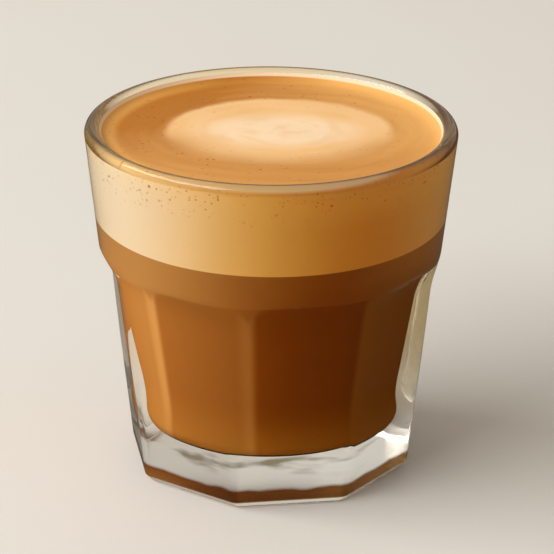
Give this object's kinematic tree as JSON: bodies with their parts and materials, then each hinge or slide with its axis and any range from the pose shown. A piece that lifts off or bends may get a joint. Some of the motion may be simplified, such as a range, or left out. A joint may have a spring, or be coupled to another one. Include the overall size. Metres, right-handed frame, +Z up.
{
  "type": "cortado glass",
  "caption": "Thick pressed tumbler with a round band above arched flat panels and a heavy clear foot, filled with milk coffee under a deep layer of foam.",
  "frame": {"origin": "centre of the foot's underside, at the height of the surface that the glass stands on", "axes": "+Z up along the glass's axis, towards the lip; one flat panel faces each of +X, -X, +Y and -Y"},
  "size_m": [0.075, 0.075, 0.072],
  "materials": {
    "clear_glass": "clear soda-lime glass, pressed and fire-polished",
    "milk_coffee": "liquid coffee with milk, opaque and glossy",
    "microfoam": "fine steamed-milk foam, satin",
    "crema": "coffee-coloured skin of fine bubbles, satin",
    "milk_foam": "pale milk foam with soft swirls, satin"
  },
  "bodies": {
    "root": {"tumbler": "clear_glass", "milk_coffee": "milk_coffee", "microfoam": "microfoam", "crema": "crema", "milk_foam_spot": "milk_foam"}
  },
  "joints": []
}
